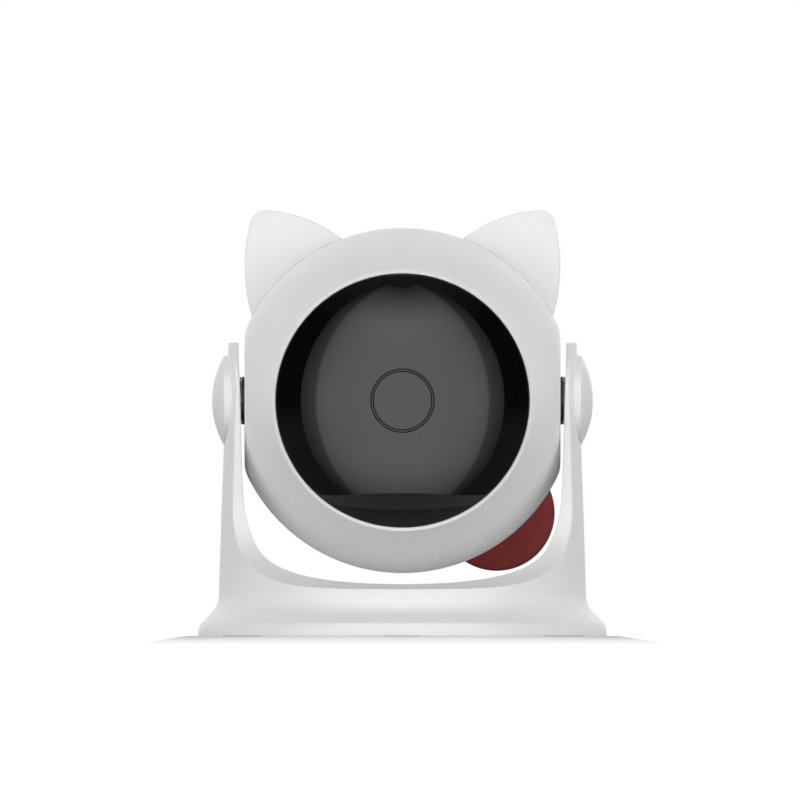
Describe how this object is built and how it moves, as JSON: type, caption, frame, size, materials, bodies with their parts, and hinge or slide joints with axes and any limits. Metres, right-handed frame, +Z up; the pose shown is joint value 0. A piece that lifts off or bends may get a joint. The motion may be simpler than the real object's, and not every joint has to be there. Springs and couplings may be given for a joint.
{
  "type": "automatic cat laser toy",
  "caption": "Ball-shaped laser toy head with cat ears, a smoked round face and a button, tilting between the arms of a round bell-shaped stand.",
  "frame": {"origin": "on the floor under the middle of the round stand, at the bottom of the rubber feet", "axes": "+Z up, the lens faces -Y, +X along the tilt axis to the right as seen from the front"},
  "size_m": [0.1268, 0.1268, 0.132],
  "materials": {
    "shell_white": "satin moulded white",
    "ear_white": "satin moulded white",
    "stand_white": "fine satin moulded white",
    "lens_smoke": "polished smoked black",
    "button_smoke": "polished smoked black",
    "black_plastic": "fine texture",
    "grey_plastic": "moulded",
    "board_green": "lacquered board",
    "screw_steel": "zinc plated",
    "motor_steel": "plain",
    "brass": "turned",
    "mirror_glass": "polished",
    "cell": "blue sleeve",
    "rubber": "matt",
    "tag_leather": "fine grain, dark red"
  },
  "bodies": {
    "stand": {"stand_frame": "stand_white", "base_plate": "stand_white", "rubber_feet": "rubber", "base_screws": "screw_steel", "side_knob_left": "stand_white", "side_knob_right": "stand_white", "friction_washers": "rubber"},
    "head": {"front_shell": "shell_white", "rear_shell": "shell_white", "rear_cover": "shell_white", "lens": "lens_smoke", "lens_retainer": "black_plastic", "button_ring": "button_smoke", "power_switch": "black_plastic", "button_board": "board_green", "board_screws": "screw_steel", "ear_left": "ear_white", "ear_right": "ear_white", "trunnion_left": "black_plastic", "trunnion_right": "black_plastic", "chassis": "grey_plastic", "shell_screws": "screw_steel", "cover_screws": "screw_steel", "laser_module": "brass", "laser_clamp": "black_plastic", "gear_axle": "motor_steel", "gear_motor": "motor_steel", "motor_strap": "black_plastic", "strap_screws": "screw_steel", "battery": "cell", "battery_strap": "black_plastic", "main_board": "board_green", "usb_socket": "screw_steel", "tag_rivet": "brass"},
    "button": {"power_button": "button_smoke", "switch_plunger": "grey_plastic"},
    "mirror_drive": {"mirror_gear": "grey_plastic", "mirror_disc": "mirror_glass"},
    "pinion": {"drive_pinion": "brass"},
    "tag": {"tag": "tag_leather", "tag_eyelet": "brass"}
  },
  "joints": [
    {"name": "head_tilt", "type": "hinge", "parent": "stand", "child": "head", "pos_m": [0, 0, 0.073], "axis": [1, 0, 0], "range_deg": [0, 60]},
    {"name": "button_press", "type": "slide", "parent": "head", "child": "button", "axis": [0, 1, 0], "range_m": [0, 0.001], "stiffness_N_per_m": 400, "springref_m": -0.002},
    {"name": "mirror_spin", "type": "hinge", "parent": "head", "child": "mirror_drive", "pos_m": [0, -0.01, 0.055], "axis": [0, 1, 0], "continuous": true},
    {"name": "pinion_spin", "type": "hinge", "parent": "head", "child": "pinion", "pos_m": [0.0121, -0.01, 0.055], "axis": [0, 1, 0], "continuous": true},
    {"name": "tag_swing", "type": "hinge", "parent": "head", "child": "tag", "pos_m": [0.0292, 0.037, 0.0527], "axis": [0, 1, 0], "range_deg": [-45, 45]}
  ],
  "couplings": [
    {"joint": "pinion_spin", "follows": "mirror_spin", "ratio": -3}
  ]
}
